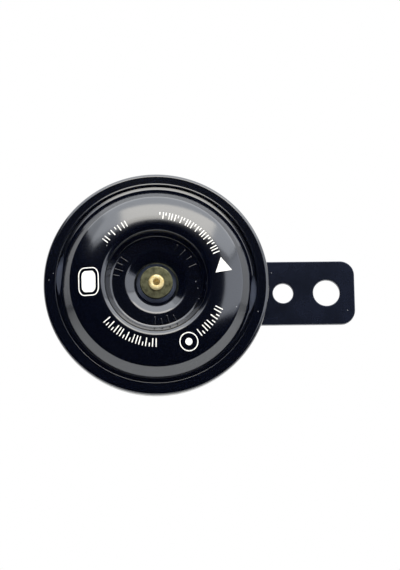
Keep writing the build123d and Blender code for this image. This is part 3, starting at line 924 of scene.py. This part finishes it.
def flat_mark(corners, radius, centre, turn, line=None, stretch=1.0, rounding=0.0, spin=0.0):
    """Flat patch ahead of the horn, or a closed frame of it if it has a line width."""
    deselect()
    bpy.ops.mesh.primitive_circle_add(
        vertices=corners, radius=radius, fill_type="NGON", rotation=(math.radians(90), spin, 0)
    )
    piece = settle("flat_mark")
    edit(piece)
    if rounding:
        bpy.ops.mesh.bevel(affect="VERTICES", offset=rounding, segments=6, clamp_overlap=False)
        bpy.ops.mesh.select_all(action="SELECT")
    bpy.ops.transform.resize(value=(stretch, 1, 1), center_override=(0, 0, 0))
    if line:
        bpy.ops.mesh.inset(thickness=line)
        bpy.ops.mesh.delete(type="FACE")
    bpy.ops.mesh.select_all(action="SELECT")
    bpy.ops.mesh.quads_convert_to_tris()
    bpy.ops.mesh.subdivide(number_cuts=3)
    leave_edit()
    piece.matrix_world = Matrix.Translation(centre) @ Matrix.Rotation(-turn, 4, "Y")
    return settle("flat_mark")


def joined(pieces, name):
    """Join flat marks into one piece."""
    only(pieces[0])
    for piece in pieces:
        piece.select_set(True)
    bpy.ops.object.join()
    made = bpy.context.object
    made.name = made.data.name = name
    return made


def laid_on(marks, surface, thickness):
    """Lay flat marks on what is behind them, then give them thickness outwards."""
    modify(
        marks,
        "SHRINKWRAP",
        target=surface,
        wrap_method="PROJECT",
        use_project_y=True,
        use_positive_direction=True,
        use_negative_direction=False,
    )
    edit(marks)
    lift = 0.01 * mm
    bpy.ops.transform.translate(value=(0, -lift, 0))
    leave_edit()
    return modify(marks, "SOLIDIFY", thickness=thickness, offset=1)


class HORN_OT_printed_marks(bpy.types.Operator):
    """Print plain white marks round the crown: rows of strokes, a ring, a frame and a triangle"""

    bl_idname = "horn.printed_marks"
    bl_label = "Printed marks"

    def execute(self, context):
        marks = context.scene.horn_marks
        pieces = []
        # first and last turn in degrees, inner and outer radius in mm, count of stroke pairs
        rows = (
            (-92.5, -139.5, 18.4, 21.0, 9),
            (-26.5, -50.5, 19.9, 22.4, 5),
            (119.0, 140.0, 19.0, 21.1, 4),
            (26.0, 85.0, 19.3, 21.5, 12),
        )
        short = 0.45  # length of a short stroke, as a share of a long one
        for first, last, inner, outer, count in rows:
            apart = marks.stroke_gap / (inner * mm)
            for index in range(count):
                turn = math.radians(first + (last - first) * index / (count - 1))
                foot = outer - (outer - inner) * (short if index % 3 else 1)
                pieces.append(bar(inner * mm, outer * mm, turn - apart, marks.stroke))
                pieces.append(bar(foot * mm, outer * mm, turn + apart, marks.stroke))
        # ring with a dot
        turn = math.radians(-63.4)
        centre = place(marks.ring_reach, ahead, turn)
        pieces.append(flat_mark(48, marks.ring_radius, centre, turn, marks.stroke))
        pieces.append(flat_mark(24, marks.dot_radius, centre, turn))
        # rounded frame round a plain rounded patch, both taller round the horn than across it
        turn = math.radians(-179.1)
        centre = place(marks.middle_reach, ahead, turn)
        square = math.radians(45)
        for radius, line, stretch, corner in (
            (marks.frame_radius, marks.stroke, 0.71, marks.frame_corner),
            (marks.patch_radius, None, 0.64, marks.patch_corner),
        ):
            pieces.append(flat_mark(4, radius, centre, turn, line, stretch, corner, square))
        # triangle
        turn = math.radians(11)
        centre = place(marks.middle_reach, ahead, turn)
        pieces.append(flat_mark(3, marks.triangle_radius, centre, turn))
        printed = joined(pieces, "printed_marks")
        laid_on(printed, bpy.data.objects["cover_pressing"], marks.ink)
        finish_piece(printed, "horn", None, "printing ink")
        return {"FINISHED"}


class HORN_OT_stamped_marks(bpy.types.Operator):
    """Stamp three short rows of raised strokes in the valley"""

    bl_idname = "horn.stamped_marks"
    bl_label = "Stamped marks"

    def execute(self, context):
        marks = context.scene.horn_marks
        pieces = []
        count = 4
        # first and last turn of each row, in degrees
        for first, last in ((-64.0, -93.0), (170.0, 144.0), (60.0, 24.0)):
            for index in range(count):
                turn = math.radians(first + (last - first) * index / (count - 1))
                inner = marks.stamp_long if index % 2 else marks.stamp_short
                pieces.append(bar(inner, marks.stamp_outer, turn, marks.stamp_stroke))
        stamped = joined(pieces, "stamped_marks")
        laid_on(stamped, bpy.data.objects["cover_pressing"], marks.stamp_height)
        modify(stamped, "BEVEL", width=marks.stamp_edge, segments=2, limit_method="ANGLE")
        smooth(stamped, 50)
        finish_piece(stamped, "horn", "black_enamel", "gloss enamel")
        return {"FINISHED"}


class HORN_OT_wear(bpy.types.Operator):
    """Settle specks of dust and grit on the cover, the rim and the strap"""

    bl_idname = "horn.wear"
    bl_label = "Dust and grit"

    def execute(self, context):
        # place to the right of the horn's axis and above it, and size, in mm
        specks = {
            "cover_pressing": (
                (24.6, -8.4, 0.22),
                (-15.2, 10.9, 0.2),
                (12.2, 0.1, 0.18),
                (12.8, -2.0, 0.14),
                (13.1, -5.4, 0.16),
                (8.2, 21.5, 0.13),
            ),
            "housing_pressing": ((-31.9, 3.4, 0.16), (-33.2, 1.3, 0.14), (31.4, -9.3, 0.18)),
            "strap_blank": ((36.9, 6.6, 0.2), (60.9, -5.8, 0.18)),
        }
        for carrier, found in specks.items():
            pieces = []
            for across, up, size in found:
                centre = place(0, ahead) + Vector((across * mm, 0, up * mm))
                pieces.append(flat_mark(7, size * mm, centre, across, stretch=0.6))
            grit = joined(pieces, "grit_on_" + carrier.split("_")[0])
            laid_on(grit, bpy.data.objects[carrier], context.scene.horn_marks.grit)
            finish_piece(grit, "horn", None, "dust")
        return {"FINISHED"}


# -------- fittings at the back and parts inside


class HORN_OT_back_fittings(bpy.types.Operator):
    """Dress the nut, washers, screw and terminals behind the horn with broken edges"""

    bl_idname = "horn.back_fittings"
    bl_label = "Back fittings"

    def execute(self, context):
        # CAD node, edge break in mm, material slot and finish
        fittings = (
            ("bracket_nut", 0.15, "zinc_steel", "clear zinc"),
            ("spring_washer", 0.12, "zinc_steel", "clear zinc"),
            ("adjusting_screw", 0.08, "zinc_steel", "clear zinc"),
            ("magnet_core", 0.08, "soft_iron", "soft iron"),
            ("sealing_lacquer", 0.0, "lacquer", "lacquer"),
            ("terminal_base", 0.25, "phenolic", "phenolic"),
            ("terminal_blade_live", 0.08, "tinned_brass", "tinned brass"),
            ("terminal_blade_ground", 0.08, "tinned_brass", "tinned brass"),
            ("terminal_rivets", 0.08, "tinned_brass", "tinned brass"),
            ("contact_rivets", 0.08, "brass", "brass"),
        )
        for name, edge, slot, finish in fittings:
            piece = dressed(name, name + "_dressed", edge * mm)
            finish_piece(piece, "horn", slot, finish, name)
        return {"FINISHED"}


class HORN_OT_inner_parts(bpy.types.Operator):
    """Give the CAD parts inside the horn the finishes of the real ones"""

    bl_idname = "horn.inner_parts"
    bl_label = "Inner parts"

    def execute(self, context):
        finishes = {
            "gasket card": ("front_gasket", "rear_gasket"),
            "diaphragm steel": ("diaphragm",),
            "soft iron": ("armature",),
            "clear zinc": ("centre_spacer",),
            "nylon": ("contact_pusher", "coil_bobbin"),
            "copper winding": ("coil_winding",),
            "phenolic": (
                "contact_base_insulator",
                "contact_middle_insulator",
                "contact_top_insulator",
                "terminal_inner_insulator",
            ),
            "brass": ("fixed_contact_arm",),
            "spring bronze": ("moving_contact_leaf",),
            "tungsten": ("fixed_contact", "moving_contact"),
            "ceramic": ("suppressor_resistor",),
        }
        for finish, nodes in finishes.items():
            for name in nodes:
                coat(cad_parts[name], finish)
        return {"FINISHED"}


# -------- stage


def panel(name, size, centre, facing, material):
    """Flat rectangular board of a width and height, turned to face a direction."""
    deselect()
    bpy.ops.mesh.primitive_plane_add(size=1)
    board = bpy.context.object
    board.scale = (size[0], size[1], 1)
    board.rotation_euler = Vector(facing).to_track_quat("Z", "Y").to_euler()
    board.location = centre
    settle(name)
    board.data.materials.append(material)
    return board


def softbox(name, size, offset, facing, power, colour):
    """Rectangular area lamp at an offset from the middle of the horn, turned to face a direction."""
    deselect()
    bpy.ops.object.light_add(type="AREA", location=place(0, 0) + Vector(offset))
    lamp = bpy.context.object
    lamp.name = name
    lamp.rotation_euler = (-Vector(facing)).to_track_quat("Z", "Y").to_euler()
    lamp.data.shape = "RECTANGLE"
    lamp.data.size, lamp.data.size_y = size
    lamp.data.energy = power
    lamp.data.color = linear(colour)[:3]
    return lamp


def seen_directly(tree):
    """1 for rays from the camera, and for those that a mirror or glass passes on."""
    path = node(tree, "ShaderNodeLightPath").outputs
    rays = {0: path["Is Camera Ray"], 1: path["Is Glossy Ray"]}
    either = node(tree, "ShaderNodeMath", operation="MAXIMUM", links=rays)
    rays = {0: either, 1: path["Is Transmission Ray"]}
    return node(tree, "ShaderNodeMath", operation="MAXIMUM", links=rays)


def paper(name, albedo, white_seen=False):
    # Matt studio paper: pale, with a faint fibre so that it isn't a flat tone.
    material, tree, coords = empty_material(name)
    fibre = node(tree, noise, values={"Scale": per_mm(40), "Detail": 3}, links=coords)
    tones = {6: tuple(c * 0.97 for c in linear(albedo)[:3]) + (1.0,), 7: linear(albedo)}
    tone = node(tree, blend, data_type="RGBA", values=tones, links={0: fibre})
    surface = node(tree, "ShaderNodeBsdfDiffuse", links={"Color": tone.outputs[2]})
    if white_seen:
        white = node(tree, "ShaderNodeEmission", values={"Strength": 1.0})
        links = {0: seen_directly(tree), 1: surface, 2: white}
        surface = node(tree, "ShaderNodeMixShader", links=links)
    node(tree, "ShaderNodeOutputMaterial", links={"Surface": surface})
    return material


class HORN_OT_stage(bpy.types.Operator):
    """Set the pale floor and backdrop, the lamps and the camera"""

    bl_idname = "horn.stage"
    bl_label = "Stage, lamps and camera"

    def execute(self, context):
        scene = context.scene
        sizes = scene.horn_stage
        floor_z = -0.2
        floor_paper = paper("pale floor paper", "#F2F2F0")
        white_paper = paper("white backdrop paper", "#F6F6F5", white_seen=True)
        panel("floor", (6, 6), (0, 0, floor_z), (0, 0, 1), floor_paper)
        panel("backdrop", (8, 4), (0, 1.6, 1.7), (0, -1, 0), white_paper)

        # dark boards in front and to the left, which only the gloss sees
        black = paper("black flag cloth", "#050506")
        boards = (
            panel("flag_front", (3.7, 3.4), (-1.15, -1.6, -0.7), (0, 1, 0), black),
            panel("flag_low", (5, 1.6), (0, -0.86, floor_z + 0.02), (0, 0, 1), black),
            panel("flag_left", (2.35, 3.4), (-1.5, -1.1, 0.8), (1, 0, 0), black),
        )
        for board in boards:
            board.visible_camera = False
            board.visible_diffuse = False
            board.visible_shadow = False

        # a wide soft box overhead with a brighter middle, and a dim wall to the right
        down, left = (0, 0, -1), (-1, 0, 0)
        power = sizes.overhead_power
        softbox("overhead", (1.46, 1.33), (0.17, -0.515, 0.6), down, power, "#FBFDFF")
        softbox("core", (0.66, 0.66), (0.12, -0.8, 0.59), down, sizes.core_power, "#FFF3DC")
        softbox("right_wall", (2.4, 1.05), (1.0, -1.3, 0.075), left, sizes.right_power, "#EFF4FF")

        world = bpy.data.worlds.new("studio")
        scene.world = world
        world.use_nodes = True
        tree = world.node_tree
        tree.nodes.clear()
        plain = linear("#FFFFFF")
        even = {"Color": plain, "Strength": sizes.light_level}
        light = node(tree, "ShaderNodeBackground", values=even)
        white = node(tree, "ShaderNodeBackground", values={"Color": plain, "Strength": 1.0})
        links = {0: seen_directly(tree), 1: light, 2: white}
        mixed = node(tree, "ShaderNodeMixShader", links=links)
        node(tree, "ShaderNodeOutputWorld", links={"Surface": mixed})

        deselect()
        bpy.ops.object.camera_add(location=sizes.camera_place)
        camera = bpy.context.object
        camera.name = "camera"
        up, roll, aside = sizes.camera_turn
        look = Matrix.Rotation(aside, 4, "Z") @ Matrix.Rotation(math.radians(90) + up, 4, "X")
        camera.rotation_euler = (look @ Matrix.Rotation(roll, 4, "Z")).to_euler()
        camera.data.lens = sizes.lens
        camera.data.sensor_width = 36
        camera.data.clip_start = 0.01
        scene.camera = camera
        scene.view_settings.view_transform = "Standard"
        return {"FINISHED"}


# -------- panel and registration

operators = (
    HORN_OT_stage,
    HORN_OT_front_cover,
    HORN_OT_rear_housing,
    HORN_OT_strap,
    HORN_OT_centre,
    HORN_OT_printed_marks,
    HORN_OT_stamped_marks,
    HORN_OT_wear,
    HORN_OT_back_fittings,
    HORN_OT_inner_parts,
)


class HORN_PT_sidebar(bpy.types.Panel):
    """Lists the horn's pieces and sizes"""

    bl_idname = "HORN_PT_sidebar"
    bl_label = "Disc horn"
    bl_space_type = "VIEW_3D"
    bl_region_type = "UI"
    bl_category = "Horn"

    def draw(self, context):
        for operator in operators:
            self.layout.operator(operator.bl_idname, text=operator.bl_label)
        for name, group in groups.items():
            box = self.layout.box()
            for key in group.__annotations__:
                box.prop(getattr(context.scene, name), key)


classes = (*groups.values(), *operators, HORN_PT_sidebar)


def register():
    for made in classes:
        bpy.utils.register_class(made)
    for name, group in groups.items():
        setattr(bpy.types.Scene, name, bpy.props.PointerProperty(type=group))


def unregister():
    for name in groups:
        delattr(bpy.types.Scene, name)
    for made in reversed(classes):
        bpy.utils.unregister_class(made)


def main():
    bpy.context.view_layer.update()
    register()
    for operator in operators:
        getattr(bpy.ops.horn, operator.bl_idname.split(".")[1])()


if __name__ == "__main__":
    main()
